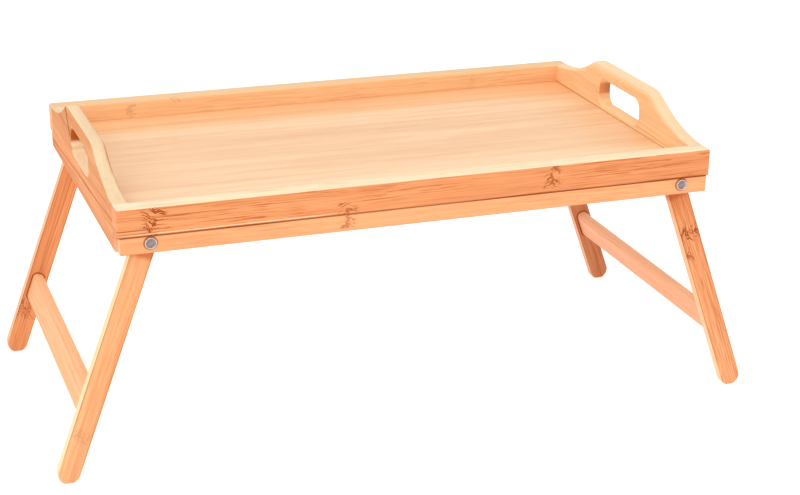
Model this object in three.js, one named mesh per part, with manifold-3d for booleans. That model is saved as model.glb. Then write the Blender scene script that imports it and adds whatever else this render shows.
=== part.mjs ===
// Folding bed tray: a bamboo tray with handles in its ends, and two leg frames that fold
// up under it on rivets. Millimetres, +Z up, X along the tray, the front towards -Y.
// The origin is on the ground under the middle of the tray.
import * as THREE from 'three';
import * as BufferGeometryUtils from 'three/addons/utils/BufferGeometryUtils.js';
import Module from 'manifold-3d';

const wasm = await Module();
wasm.setup();

// The tray
const TRAY_LENGTH = 500;
const TRAY_DEPTH = 300;
const RIM_Z = 227;
const RAIL_THICKNESS = 16;
const RAIL_HEIGHT = 23;
const END_THICKNESS = 12;
const FLOOR_TOP_BELOW_RIM = 16;
const FLOOR_THICKNESS = 3;
const GROOVE_DEPTH = 5;
const GROOVE_PLAY = 0.15;
const FLOOR_EDGE_PLAY = 0.3;

// The strips under the long rails, which carry the legs
const STRIP_HEIGHT = 14;
const STRIP_THICKNESS = 10.3;
const STRIP_SETBACK = 0.4;
const STRIP_END_INSET = 2;

// The handles in the end boards
const HANDLE_RISE = 25;
const SWEEP_RADIUS = 158;
const SWEEP_START = 141;
const SHOULDER_RADIUS = 34;
const SLOT_LENGTH = 80;
const SLOT_HEIGHT = 24;
const SLOT_CORNER_RADIUS = 10;

// The leg frames
const LEG_WIDTH = 18.2;
const LEG_THICKNESS = 8.8;
const LEG_TILT = THREE.MathUtils.degToRad(20);
const PIVOT_FROM_END = 25.5;
const PIVOT_BELOW_RIM = 28.5;
const FOOT_FLAT = 6.5;
const RUNNING_GAP = 0.3;
const STRETCHER_THICKNESS = 10;
const STRETCHER_WIDTH = 25.5;
const STRETCHER_EDGE_RADIUS = 4;
const STRETCHER_FROM_PIVOT = 146;
const TENON_THICKNESS = 5.5;
const TENON_WIDTH = 19;
const TENON_LENGTH = 5.2;

// The metal parts
const RIVET_RADIUS = 2.4;
const RIVET_HEAD_RADIUS = 4.9;
const RIVET_HEAD_HEIGHT = 1.5;
const RIVET_DISH_RADIUS = 3;
const RIVET_DISH_DEPTH = 0.6;
const RIVET_TAIL_RADIUS = 3.9;
const RIVET_TAIL_HEIGHT = 1.2;
const WASHER_RADIUS = 5.2;
const SPACER_THICKNESS = 0.7;
const TAIL_WASHER_THICKNESS = 0.8;
const HOLE_PLAY = 0.15;
const SCREW_SPACING = 160;
const SCREW_LENGTH = 24;
const SCREW_RADIUS = 1.6;
const SCREW_HEAD_RADIUS = 3.2;
const SCREW_HEAD_HEIGHT = 2;
const SCREW_RECESS_LENGTH = 3.6;
const SCREW_RECESS_WIDTH = 0.9;
const SCREW_RECESS_DEPTH = 1.1;

// The hidden dowels in the corners
const DOWEL_RADIUS = 2.5;
const DOWEL_LENGTH = 24;
const DOWEL_IN_RAIL = 10;
const DOWEL_IN_STRIP = 6.5;
const DOWEL_CHAMFER = 0.8;
const DOWEL_END_PLAY = 0.3;
const UPPER_DOWEL_BELOW_RIM = 8;
const LOWER_DOWEL_BELOW_RIM = 30;

// Worked out from the above
const HALF_LENGTH = TRAY_LENGTH / 2;
const HALF_DEPTH = TRAY_DEPTH / 2;
const RAIL_INNER_Y = HALF_DEPTH - RAIL_THICKNESS;
const END_INNER_X = HALF_LENGTH - END_THICKNESS;
const END_MIDDLE_X = HALF_LENGTH - END_THICKNESS / 2;
const RAIL_BOTTOM_Z = RIM_Z - RAIL_HEIGHT;
const STRIP_BOTTOM_Z = RAIL_BOTTOM_Z - STRIP_HEIGHT;
const STRIP_OUTER_Y = HALF_DEPTH - STRIP_SETBACK;
const STRIP_INNER_Y = STRIP_OUTER_Y - STRIP_THICKNESS;
const SCREW_Y = STRIP_OUTER_Y - STRIP_THICKNESS / 2;
const FLOOR_TOP_Z = RIM_Z - FLOOR_TOP_BELOW_RIM;
const FLOOR_BOTTOM_Z = FLOOR_TOP_Z - FLOOR_THICKNESS;
const UPPER_DOWEL_Z = RIM_Z - UPPER_DOWEL_BELOW_RIM;
const LOWER_DOWEL_Z = RIM_Z - LOWER_DOWEL_BELOW_RIM;
const PIVOT_X = HALF_LENGTH - PIVOT_FROM_END;
const PIVOT_Z = RIM_Z - PIVOT_BELOW_RIM;
const LEG_RADIUS = LEG_WIDTH / 2;
const LEG_OUTER_Y = STRIP_INNER_Y - SPACER_THICKNESS - RUNNING_GAP;
const LEG_INNER_Y = LEG_OUTER_Y - LEG_THICKNESS;
const FOOT_HALF_ANGLE = Math.asin(FOOT_FLAT / 2 / LEG_RADIUS);
const FOOT_FLAT_DROP = LEG_RADIUS * Math.cos(FOOT_HALF_ANGLE);
const LEG_REACH = (PIVOT_Z - FOOT_FLAT_DROP) / Math.cos(LEG_TILT);

const CURVE_STEPS = 12;
const ROUND_STEPS = 24;
const PAST = 5;

const bamboo = new THREE.MeshStandardMaterial({ color: 0xf3a873, roughness: 0.55, metalness: 0 });
const paleBamboo = new THREE.MeshStandardMaterial({ color: 0xf8cfa4, roughness: 0.5, metalness: 0 });
const dowelWood = new THREE.MeshStandardMaterial({ color: 0xd9b68a, roughness: 0.7, metalness: 0 });
const rivetSteel = new THREE.MeshStandardMaterial({ color: 0xc4c0bc, roughness: 0.35, metalness: 1 });
const screwSteel = new THREE.MeshStandardMaterial({ color: 0xa9a59d, roughness: 0.4, metalness: 1 });

// A closed geometry as a solid, with its shared corners joined and its empty triangles dropped
function solidOf(geometry) {
  geometry.deleteAttribute('normal');
  geometry.deleteAttribute('uv');
  const joined = BufferGeometryUtils.mergeVertices(geometry);
  const index = joined.index.array;
  const triVerts = [];
  for (let i = 0; i < index.length; i += 3) {
    const [a, b, c] = [index[i], index[i + 1], index[i + 2]];
    if (a !== b && b !== c && c !== a) triVerts.push(a, b, c);
  }
  const vertProperties = joined.attributes.position.array;
  const mesh = new wasm.Mesh({ numProp: 3, vertProperties, triVerts: new Uint32Array(triVerts) });
  return new wasm.Manifold(mesh);
}

function cut(body, ...tools) {
  return tools.reduce((left, tool) => left.subtract(tool), body);
}

function pieceOf(name, solid, material) {
  const { vertProperties, triVerts } = solid.getMesh();
  const geometry = new THREE.BufferGeometry();
  geometry.setAttribute('position', new THREE.BufferAttribute(vertProperties, 3));
  geometry.setIndex(new THREE.BufferAttribute(triVerts, 1));
  geometry.computeVertexNormals();
  const mesh = new THREE.Mesh(geometry, material);
  mesh.name = name;
  return mesh;
}

// A block between two limits along each axis, given in either order
function block(x, y, z) {
  const spans = [x, y, z].map(([a, b]) => Math.abs(b - a));
  const middles = [x, y, z].map(([a, b]) => (a + b) / 2);
  return solidOf(new THREE.BoxGeometry(...spans).translate(...middles));
}

// A round bar along Y between two limits, given in either order
function barAlongY(radius, x, [a, b], z) {
  const bar = new THREE.CylinderGeometry(radius, radius, Math.abs(b - a), ROUND_STEPS);
  return solidOf(bar.translate(x, (a + b) / 2, z));
}

// A solid of revolution about the Y axis, from points [radius, distance along Y]
function turned(profile) {
  const points = profile.map(([radius, along]) => new THREE.Vector2(radius, along));
  return solidOf(new THREE.LatheGeometry(points, ROUND_STEPS));
}

// A shape drawn in two axes, extruded along a third
function extruded(shape, depth, basis) {
  const settings = { depth, bevelEnabled: false, curveSegments: CURVE_STEPS };
  const geometry = new THREE.ExtrudeGeometry(shape, settings);
  return solidOf(geometry.translate(0, 0, -depth / 2).applyMatrix4(basis));
}

const X = new THREE.Vector3(1, 0, 0);
const Y = new THREE.Vector3(0, 1, 0);
const Z = new THREE.Vector3(0, 0, 1);
const DRAWN_IN_YZ = new THREE.Matrix4().makeBasis(Y, Z, X);
const DRAWN_IN_XZ = new THREE.Matrix4().makeBasis(X, Z, Y.clone().negate());

function roundedRectangle(path, width, height, radius, middleY = 0) {
  const [u, v] = [width / 2 - radius, height / 2 - radius];
  const turn = Math.PI / 2;
  path.absarc(u, middleY + v, radius, 0, turn, false);
  path.absarc(-u, middleY + v, radius, turn, 2 * turn, false);
  path.absarc(-u, middleY - v, radius, 2 * turn, 3 * turn, false);
  path.absarc(u, middleY - v, radius, 3 * turn, 4 * turn, false);
  path.closePath();
  return path;
}

// Hidden dowels: where they are, and the holes that they sit in
function dowelPlaces() {
  const places = [];
  for (const [across, sideX] of [['left', -1], ['right', 1]]) {
    for (const [along, sideY] of [['front', -1], ['rear', 1]]) {
      const upper = { sideX, sideY, name: `${across}_${along}_upper_dowel` };
      const lower = { sideX, sideY, name: `${across}_${along}_lower_dowel` };
      places.push({ ...upper, z: UPPER_DOWEL_Z, outer: RAIL_INNER_Y + DOWEL_IN_RAIL });
      places.push({ ...lower, z: LOWER_DOWEL_Z, outer: STRIP_INNER_Y + DOWEL_IN_STRIP });
    }
  }
  return places;
}

function dowelHole({ sideX, sideY, z, outer }) {
  const inner = outer - DOWEL_LENGTH;
  const span = [sideY * (inner - DOWEL_END_PLAY), sideY * (outer + DOWEL_END_PLAY)];
  return barAlongY(DOWEL_RADIUS + HOLE_PLAY, sideX * END_MIDDLE_X, span, z);
}

function dowel({ name, sideX, sideY, z, outer }) {
  const profile = [
    [0, -DOWEL_LENGTH / 2],
    [DOWEL_RADIUS - DOWEL_CHAMFER, -DOWEL_LENGTH / 2],
    [DOWEL_RADIUS, -DOWEL_LENGTH / 2 + DOWEL_CHAMFER],
    [DOWEL_RADIUS, DOWEL_LENGTH / 2 - DOWEL_CHAMFER],
    [DOWEL_RADIUS - DOWEL_CHAMFER, DOWEL_LENGTH / 2],
    [0, DOWEL_LENGTH / 2],
  ];
  const place = [sideX * END_MIDDLE_X, sideY * (outer - DOWEL_LENGTH / 2), z];
  return pieceOf(name, turned(profile).translate(place), dowelWood);
}

// Wood screws that hold each strip to its rail from below
function screwProfile(play) {
  const tip = STRIP_BOTTOM_Z + SCREW_LENGTH;
  return [
    [0, STRIP_BOTTOM_Z],
    [SCREW_HEAD_RADIUS + play, STRIP_BOTTOM_Z],
    [SCREW_RADIUS + play, STRIP_BOTTOM_Z + SCREW_HEAD_HEIGHT],
    [SCREW_RADIUS + play, tip - 2 * SCREW_RADIUS + play],
    [0, tip + play],
  ];
}

function standing(solid, x, y) {
  return solid.rotate([90, 0, 0]).translate([x, y, 0]);
}

function screwPlaces(sideY) {
  const side = sideY < 0 ? 'front' : 'rear';
  const rows = [['left', -1], ['middle', 0], ['right', 1]];
  return rows.map(([row, step]) => ({
    name: `${side}_${row}_screw`,
    x: step * SCREW_SPACING,
    y: sideY * SCREW_Y,
  }));
}

function screwHoles(sideY) {
  return screwPlaces(sideY).map(({ x, y }) => standing(turned(screwProfile(HOLE_PLAY)), x, y));
}

function screw({ name, x, y }) {
  const long = [-SCREW_RECESS_LENGTH / 2, SCREW_RECESS_LENGTH / 2];
  const short = [-SCREW_RECESS_WIDTH / 2, SCREW_RECESS_WIDTH / 2];
  const deep = [STRIP_BOTTOM_Z - PAST, STRIP_BOTTOM_Z + SCREW_RECESS_DEPTH];
  const body = standing(turned(screwProfile(0)), 0, 0);
  const crossed = cut(body, block(long, short, deep), block(short, long, deep));
  return pieceOf(name, crossed.translate([x, y, 0]), screwSteel);
}

// The long rails, cut back under the floor's edge to the thickness of the strips
function longRail(name, sideY) {
  const rail = block(
    [-HALF_LENGTH, HALF_LENGTH],
    [sideY * RAIL_INNER_Y, sideY * HALF_DEPTH],
    [RAIL_BOTTOM_Z, RIM_Z],
  );
  const holes = dowelPlaces().filter((place) => place.sideY === sideY).map(dowelHole);
  const spaces = [floorSpace(), bay(), ...holes, ...screwHoles(sideY)];
  return pieceOf(name, cut(rail, ...spaces), bamboo);
}

// The space that the floor and its play take up in the end boards and the rails
function floorSpace() {
  const reachX = END_INNER_X + GROOVE_DEPTH;
  const levels = [FLOOR_BOTTOM_Z - GROOVE_PLAY, FLOOR_TOP_Z + GROOVE_PLAY];
  return block([-reachX, reachX], [-STRIP_INNER_Y, STRIP_INNER_Y], levels);
}

// The space under the floor, as wide as the gap between the strips, that the legs fold into
function bay() {
  const levels = [RAIL_BOTTOM_Z - PAST, FLOOR_TOP_Z];
  return block([-END_INNER_X, END_INNER_X], [-STRIP_INNER_Y, STRIP_INNER_Y], levels);
}

function floorPanel() {
  const reachX = END_INNER_X + GROOVE_DEPTH - FLOOR_EDGE_PLAY;
  const reachY = STRIP_INNER_Y - FLOOR_EDGE_PLAY;
  const panel = block([-reachX, reachX], [-reachY, reachY], [FLOOR_BOTTOM_Z, FLOOR_TOP_Z]);
  return pieceOf('floor_panel', panel, paleBamboo);
}

function legStrip(name, sideY) {
  const reach = HALF_LENGTH - STRIP_END_INSET;
  const strip = block(
    [-reach, reach],
    [sideY * STRIP_INNER_Y, sideY * STRIP_OUTER_Y],
    [STRIP_BOTTOM_Z, RAIL_BOTTOM_Z],
  );
  const holes = dowelPlaces().filter((place) => place.sideY === sideY).map(dowelHole);
  const through = [sideY * (STRIP_INNER_Y - PAST), sideY * (STRIP_OUTER_Y + PAST)];
  for (const sideX of [-1, 1]) {
    holes.push(barAlongY(RIVET_RADIUS + HOLE_PLAY, sideX * PIVOT_X, through, PIVOT_Z));
  }
  return pieceOf(name, cut(strip, ...holes, ...screwHoles(sideY)), bamboo);
}

// The end board's outline: it fits between the strips below and the rails above, and is low
// at its ends, then has a hollow sweep up to a level handle
function endBoardOutline() {
  const lowered = HANDLE_RISE - SHOULDER_RADIUS;
  const between = SWEEP_RADIUS + SHOULDER_RADIUS;
  const levelHalf = SWEEP_START - Math.sqrt(between ** 2 - (SWEEP_RADIUS - lowered) ** 2);
  const sweepZ = RIM_Z + SWEEP_RADIUS;
  const shoulderZ = RIM_Z + lowered;
  const meeting = Math.atan2(sweepZ - shoulderZ, SWEEP_START - levelHalf);
  const quarter = Math.PI / 2;
  const foot = quarter + Math.asin((SWEEP_START - RAIL_INNER_Y) / SWEEP_RADIUS);
  const shape = new THREE.Shape();
  shape.moveTo(-RAIL_INNER_Y, RAIL_BOTTOM_Z);
  shape.lineTo(-STRIP_INNER_Y, RAIL_BOTTOM_Z);
  shape.lineTo(-STRIP_INNER_Y, STRIP_BOTTOM_Z);
  shape.lineTo(STRIP_INNER_Y, STRIP_BOTTOM_Z);
  shape.lineTo(STRIP_INNER_Y, RAIL_BOTTOM_Z);
  shape.lineTo(RAIL_INNER_Y, RAIL_BOTTOM_Z);
  shape.absarc(SWEEP_START, sweepZ, SWEEP_RADIUS, -foot, meeting - 2 * quarter, true);
  shape.absarc(levelHalf, shoulderZ, SHOULDER_RADIUS, meeting, quarter, false);
  shape.absarc(-levelHalf, shoulderZ, SHOULDER_RADIUS, quarter, 2 * quarter - meeting, false);
  shape.absarc(-SWEEP_START, sweepZ, SWEEP_RADIUS, -meeting, foot - 2 * quarter, true);
  shape.closePath();
  return shape;
}

function endBoard(name, sideX) {
  const outline = endBoardOutline();
  const slot = new THREE.Path();
  outline.holes.push(roundedRectangle(slot, SLOT_LENGTH, SLOT_HEIGHT, SLOT_CORNER_RADIUS, RIM_Z));
  const board = extruded(outline, END_THICKNESS, DRAWN_IN_YZ);
  const holes = dowelPlaces().filter((place) => place.sideX === sideX).map(dowelHole);
  const placed = board.translate([sideX * END_MIDDLE_X, 0, 0]);
  return pieceOf(name, cut(placed, floorSpace(), ...holes), bamboo);
}

// A leg, drawn with its pivot at the origin and hanging along -Z, its outer side towards -X.
// Its top is round where it turns past the floor, and cut level where it stops against it.
function legOutline() {
  const quarter = Math.PI / 2;
  const level = quarter + LEG_TILT;
  const cutHalf = (LEG_RADIUS - LEG_RADIUS * Math.sin(LEG_TILT)) / Math.cos(LEG_TILT);
  const cutEnd = LEG_RADIUS * Math.cos(LEG_TILT) - cutHalf * Math.sin(LEG_TILT);
  const ground = level + 2 * quarter;
  const shape = new THREE.Shape();
  shape.absarc(0, 0, LEG_RADIUS, 0, level, false);
  shape.lineTo(-LEG_RADIUS, cutEnd);
  shape.absarc(0, -LEG_REACH, LEG_RADIUS, 2 * quarter, ground - FOOT_HALF_ANGLE, false);
  shape.absarc(0, -LEG_REACH, LEG_RADIUS, ground + FOOT_HALF_ANGLE, 4 * quarter, false);
  shape.closePath();
  return shape;
}

function leg(name, sideY) {
  const middleY = sideY * (LEG_OUTER_Y + LEG_INNER_Y) / 2;
  const blank = extruded(legOutline(), LEG_THICKNESS, DRAWN_IN_XZ).translate([0, middleY, 0]);
  const through = [sideY * (LEG_INNER_Y - PAST), sideY * (LEG_OUTER_Y + PAST)];
  const pivot = barAlongY(RIVET_RADIUS + RUNNING_GAP, 0, through, 0);
  const mortiseX = TENON_THICKNESS / 2 + RUNNING_GAP;
  const mortiseZ = TENON_WIDTH / 2 + RUNNING_GAP;
  const mortise = block(
    [-mortiseX, mortiseX],
    [sideY * (LEG_INNER_Y - PAST), sideY * (LEG_INNER_Y + TENON_LENGTH + RUNNING_GAP)],
    [-STRETCHER_FROM_PIVOT - mortiseZ, -STRETCHER_FROM_PIVOT + mortiseZ],
  );
  return pieceOf(name, cut(blank, pivot, mortise), bamboo);
}

function stretcher(name) {
  const shoulder = LEG_INNER_Y - RUNNING_GAP;
  const section = new THREE.Shape();
  roundedRectangle(section, STRETCHER_THICKNESS, STRETCHER_WIDTH, STRETCHER_EDGE_RADIUS);
  const bar = extruded(section, 2 * shoulder, DRAWN_IN_XZ);
  const reach = LEG_INNER_Y + TENON_LENGTH;
  const tenons = block(
    [-TENON_THICKNESS / 2, TENON_THICKNESS / 2],
    [-reach, reach],
    [-TENON_WIDTH / 2, TENON_WIDTH / 2],
  );
  return pieceOf(name, bar.add(tenons).translate([0, 0, -STRETCHER_FROM_PIVOT]), bamboo);
}

// A leg frame at the left end; half a turn about Z makes it the one at the right end
function legFrame(across, halfTurns) {
  const [low, high] = halfTurns ? ['rear', 'front'] : ['front', 'rear'];
  const frame = new THREE.Group();
  frame.position.set(-PIVOT_X, 0, PIVOT_Z);
  frame.rotation.y = LEG_TILT;
  frame.add(leg(`${across}_${low}_leg`, -1), leg(`${across}_${high}_leg`, 1));
  frame.add(stretcher(`${across}_stretcher`));
  const end = new THREE.Group();
  end.rotation.z = halfTurns * Math.PI;
  end.add(frame);
  return end;
}

// A rivet with a dished head outside the strip and its tail spread inside the leg
function rivetProfile() {
  const crest = STRIP_OUTER_Y + RIVET_HEAD_HEIGHT;
  const tailTop = LEG_INNER_Y - RUNNING_GAP - TAIL_WASHER_THICKNESS;
  const ring = (RIVET_HEAD_RADIUS + RIVET_DISH_RADIUS) / 2;
  return [
    [0, tailTop - RIVET_TAIL_HEIGHT],
    [RIVET_RADIUS, tailTop - RIVET_TAIL_HEIGHT],
    [RIVET_TAIL_RADIUS, tailTop - RIVET_TAIL_HEIGHT / 3],
    [RIVET_TAIL_RADIUS, tailTop],
    [RIVET_RADIUS, tailTop],
    [RIVET_RADIUS, STRIP_OUTER_Y],
    [RIVET_HEAD_RADIUS, STRIP_OUTER_Y],
    [RIVET_HEAD_RADIUS, crest - RIVET_HEAD_HEIGHT / 3],
    [ring, crest],
    [RIVET_DISH_RADIUS, crest - RIVET_DISH_DEPTH],
    [0, crest - RIVET_DISH_DEPTH],
  ];
}

function washer(name, sideX, sideY, [inner, outer], material) {
  const [x, y] = [sideX * PIVOT_X, [sideY * inner, sideY * outer]];
  const past = [sideY * (inner - PAST), sideY * (outer + PAST)];
  const disc = barAlongY(WASHER_RADIUS, x, y, PIVOT_Z);
  return pieceOf(name, cut(disc, barAlongY(RIVET_RADIUS + HOLE_PLAY, x, past, PIVOT_Z)), material);
}

function pivotHardware(corner, sideX, sideY) {
  const spacer = [STRIP_INNER_Y - SPACER_THICKNESS, STRIP_INNER_Y];
  const tail = [LEG_INNER_Y - RUNNING_GAP - TAIL_WASHER_THICKNESS, LEG_INNER_Y - RUNNING_GAP];
  const rivet = turned(rivetProfile()).rotate([0, 0, sideY < 0 ? 180 : 0]);
  return [
    pieceOf(`${corner}_rivet`, rivet.translate([sideX * PIVOT_X, 0, PIVOT_Z]), rivetSteel),
    washer(`${corner}_spacer_washer`, sideX, sideY, spacer, rivetSteel),
    washer(`${corner}_tail_washer`, sideX, sideY, tail, rivetSteel),
  ];
}

function tray() {
  const group = new THREE.Group();
  group.add(longRail('front_rail', -1), longRail('rear_rail', 1));
  group.add(endBoard('left_end_board', -1), endBoard('right_end_board', 1));
  group.add(floorPanel());
  group.add(legStrip('front_leg_strip', -1), legStrip('rear_leg_strip', 1));
  group.add(...dowelPlaces().map(dowel));
  group.add(...screwPlaces(-1).map(screw), ...screwPlaces(1).map(screw));
  for (const [across, sideX] of [['left', -1], ['right', 1]]) {
    for (const [along, sideY] of [['front', -1], ['rear', 1]]) {
      group.add(...pivotHardware(`${across}_${along}`, sideX, sideY));
    }
  }
  return group;
}

const table = new THREE.Group();
table.add(tray(), legFrame('left', 0), legFrame('right', 1));

export default table;
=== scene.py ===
import math

import bmesh
import bpy
from mathutils import Matrix, Vector
from mathutils.geometry import tessellate_polygon


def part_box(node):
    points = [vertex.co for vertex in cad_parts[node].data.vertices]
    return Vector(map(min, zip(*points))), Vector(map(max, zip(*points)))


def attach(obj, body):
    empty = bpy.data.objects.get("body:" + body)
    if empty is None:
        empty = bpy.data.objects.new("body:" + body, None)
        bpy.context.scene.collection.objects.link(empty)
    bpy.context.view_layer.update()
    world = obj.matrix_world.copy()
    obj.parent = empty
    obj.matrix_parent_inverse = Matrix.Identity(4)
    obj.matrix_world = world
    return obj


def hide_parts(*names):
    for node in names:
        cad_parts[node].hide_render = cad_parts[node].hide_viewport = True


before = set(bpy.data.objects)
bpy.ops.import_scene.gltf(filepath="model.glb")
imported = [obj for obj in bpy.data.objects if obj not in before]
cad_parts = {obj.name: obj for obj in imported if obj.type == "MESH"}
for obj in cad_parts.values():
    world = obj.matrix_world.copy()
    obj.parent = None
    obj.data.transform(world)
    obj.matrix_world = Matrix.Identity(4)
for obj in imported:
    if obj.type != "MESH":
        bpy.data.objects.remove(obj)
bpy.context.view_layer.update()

# Sizes are in millimetres and places in the row frame, as in the CAD model.
MM = 0.001
BUTT_RADIUS = 0.04  # where one board is glued against another
RIM_RADIUS = 1.8  # the rounded rim
SLOT_RADIUS = 2.0  # the slots, rounded for the hand
HUMP_RADIUS = 5.0  # the handles' tops, on the side of the tray
OUTER_RADIUS = 1.2  # the same tops and slots, on the outer side
LOWER_RADIUS = 1.0  # the lower edges of the boards
SEAM_RADIUS = 1.5  # the long lower edge of a rail, over the seam
STRIP_RADII = (LOWER_RADIUS, 1.4, 0.7, 0.3)  # inner lower, outer lower, outer upper, inner upper
LEG_EDGE_RADIUS = 1.1
HUMP_RISE = 12  # how high over the rim a handle's edges come to their full radius
HAIR = 0.01  # keeps points apart that would otherwise fall together
NOTCH_GAP = 0.2  # between the end of the floor and the end of its groove in a rail

# How many steps each curve is drawn in
ROUND_STEPS = 5
SWEEP_STEPS = 18
SHOULDER_STEPS = 10
LEG_TOP_STEPS = 16
FOOT_STEPS = 14
TURNED_STEPS = 64


def box_mm(node):
    lo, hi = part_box(node)
    return lo / MM, hi / MM


RAIL_LO, RAIL_HI = box_mm("rear_rail")
STRIP_LO, STRIP_HI = box_mm("rear_leg_strip")
FLOOR_LO, FLOOR_HI = box_mm("floor_panel")
STEM_LO, STEM_HI = box_mm("right_rear_rivet")
SPACER_LO, SPACER_HI = box_mm("right_rear_spacer_washer")
TAIL_LO, TAIL_HI = box_mm("right_rear_tail_washer")
LEG_LO, LEG_HI = box_mm("right_rear_leg")

HALF_LENGTH = RAIL_HI.x
RIM_Z = RAIL_HI.z
RAIL_BOTTOM_Z = RAIL_LO.z
RAIL_INNER_Y = RAIL_LO.y
RAIL_OUTER_Y = RAIL_HI.y
STRIP_BOTTOM_Z = STRIP_LO.z
STRIP_INNER_Y = STRIP_LO.y
STRIP_OUTER_Y = STRIP_HI.y
STRIP_HALF_LENGTH = STRIP_HI.x
END_INNER_X = box_mm("right_end_board")[0].x
FLOOR_TOP_Z = FLOOR_HI.z
PIVOT_X = (SPACER_LO.x + SPACER_HI.x) / 2
PIVOT_Z = (SPACER_LO.z + SPACER_HI.z) / 2
LEG_INNER_Y = LEG_LO.y
LEG_OUTER_Y = LEG_HI.y
RAIL_MIDDLE_Z = (RIM_Z + RAIL_BOTTOM_Z) / 2
STRIP_MIDDLE_Z = (RAIL_BOTTOM_Z + STRIP_BOTTOM_Z) / 2
FLOOR_STRIPS = 14
FLOOR_STRIP = 2 * FLOOR_HI.y / FLOOR_STRIPS

# These repeat the CAD model's own dimensions.
FLOOR_GAP = 0.15
HANDLE_RISE = 25
SWEEP_RADIUS = 158
SWEEP_START = 141
SHOULDER_RADIUS = 34
SLOT_LENGTH = 80
SLOT_HEIGHT = 24
SLOT_CORNER_RADIUS = 10
LEG_RADIUS = 9.1
LEG_TILT = math.radians(20)
FOOT_FLAT = 6.5
STRETCHER_THICKNESS = 10
STRETCHER_WIDTH = 25.5
STRETCHER_EDGE_RADIUS = 4
STRETCHER_FROM_PIVOT = 146
RIVET_RADIUS = 2.4
RIVET_HEAD_RADIUS = 4.9
RIVET_DISH_RADIUS = 3.5
RIVET_TAIL_RADIUS = 3.9
WASHER_RADIUS = 5.2
WASHER_PLAY = 0.12
DISH_DEPTH = 0.6

SHARP_ANGLE = math.radians(38)  # edges that turn further than this are shaded sharp
NEARLY_STRAIGHT = 0.94  # the cosine over which two edges of a loop are inset as one
SAME_PLACE = 1e-4  # points closer than this are one point

# The directions of a board's grain: along the fibres, across the face, and through the board
RAIL_GRAIN = (Vector((1, 0, 0)), Vector((0, 0, 1)), Vector((0, 1, 0)))
FLOOR_GRAIN = (Vector((1, 0, 0)), Vector((0, 1, 0)), Vector((0, 0, 1)))
BOARD_GRAIN = (Vector((0, 1, 0)), Vector((0, 0, 1)), Vector((1, 0, 0)))


def leg_grain(side):
    down = Vector((side * math.sin(LEG_TILT), 0, -math.cos(LEG_TILT)))
    through = Vector((0, 1, 0))
    return down, through.cross(down), through


def stretcher_grain(side):
    down = leg_grain(side)[0]
    along = Vector((0, 1, 0))
    return along, down, along.cross(down)


# ---------------------------------------------------------------- meshes


def rounded(corners, radii, steps=ROUND_STEPS):
    """A polygon with each corner turned on its own radius, as points [u, v]."""
    points = []
    count = len(corners)
    for i in range(count):
        here = Vector(corners[i])
        into = (here - Vector(corners[i - 1])).normalized()
        out = (Vector(corners[(i + 1) % count]) - here).normalized()
        first = Vector((into.y, -into.x))
        last = Vector((out.y, -out.x))
        sign = 1 if into.x * out.y - into.y * out.x > 0 else -1
        centre = here - sign * radii[i] * (first + last) / (1 + first.dot(last))
        turn = sign * math.acos(max(-1, min(1, first.dot(last))))
        for k in range(steps + 1):
            spoke = Matrix.Rotation(turn * k / steps, 2) @ first
            points.append(centre + sign * radii[i] * spoke)
    return points


def arc(centre, radius, start, end, steps):
    """Points on an arc from one angle to another, both ends included."""
    angles = [start + (end - start) * k / steps for k in range(steps + 1)]
    return [(centre[0] + radius * math.cos(a), centre[1] + radius * math.sin(a)) for a in angles]


def without_repeats(points):
    """The loop without points that fall on the one before."""
    kept = []
    for point in points:
        here = Vector(point)
        if not kept or (here - kept[-1]).length > SAME_PLACE:
            kept.append(here)
    if (kept[0] - kept[-1]).length < SAME_PLACE:
        kept.pop()
    return kept


def inset(points, radii, share):
    """The loop moved in on the solid's side, each edge by its radius times a share."""
    moved = []
    count = len(points)
    for i in range(count):
        before = (points[i] - points[i - 1]).normalized()
        after = (points[(i + 1) % count] - points[i]).normalized()
        n1 = Vector((-before.y, before.x))
        n2 = Vector((-after.y, after.x))
        d1, d2 = radii[i - 1] * share, radii[i] * share
        cosine = n1.dot(n2)
        if cosine > NEARLY_STRAIGHT:
            step = (n1 + n2).normalized() * (d1 + d2) / 2
        else:
            across = 1 - cosine * cosine
            step = n1 * (d1 - cosine * d2) / across + n2 * (d2 - cosine * d1) / across
        moved.append(points[i] + step)
    return moved


def prism(loops, radius_of, lo, hi, steps=ROUND_STEPS):
    """A board between two levels, with its edges rounded by radius_of(middle of edge, level).

    The first loop runs anticlockwise, and the holes after it run clockwise.
    """
    verts, faces, caps = [], [], []
    for points in loops:
        count = len(points)
        rings = []
        for level, inward in ((lo, 1), (hi, -1)):
            radii = [
                radius_of((points[i] + points[(i + 1) % count]) / 2, level) for i in range(count)
            ]
            deep = [max(radii[i - 1], radii[i]) for i in range(count)]
            stack = []
            for k in range(steps + 1):
                angle = math.pi / 2 * k / steps
                flat = inset(points, radii, 1 - math.cos(angle))
                rise = 1 - math.sin(angle)
                ring = [(p.x, p.y, level + inward * deep[i] * rise) for i, p in enumerate(flat)]
                stack.append(ring)
            rings += stack[::-1] if inward > 0 else stack
        base = len(verts)
        for ring in rings:
            verts += ring
        for r in range(len(rings) - 1):
            for i in range(count):
                j = (i + 1) % count
                a, b = base + r * count, base + (r + 1) * count
                faces.append((a + i, a + j, b + j, b + i))
        caps.append((base, base + (len(rings) - 1) * count, count))
    for end in (0, 1):
        loops_there = [[Vector(verts[c[end] + i]) for i in range(c[2])] for c in caps]
        index = [c[end] + i for c in caps for i in range(c[2])]
        for triangle in tessellate_polygon(loops_there):
            faces.append(tuple(index[i] for i in triangle))
    return verts, faces


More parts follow.
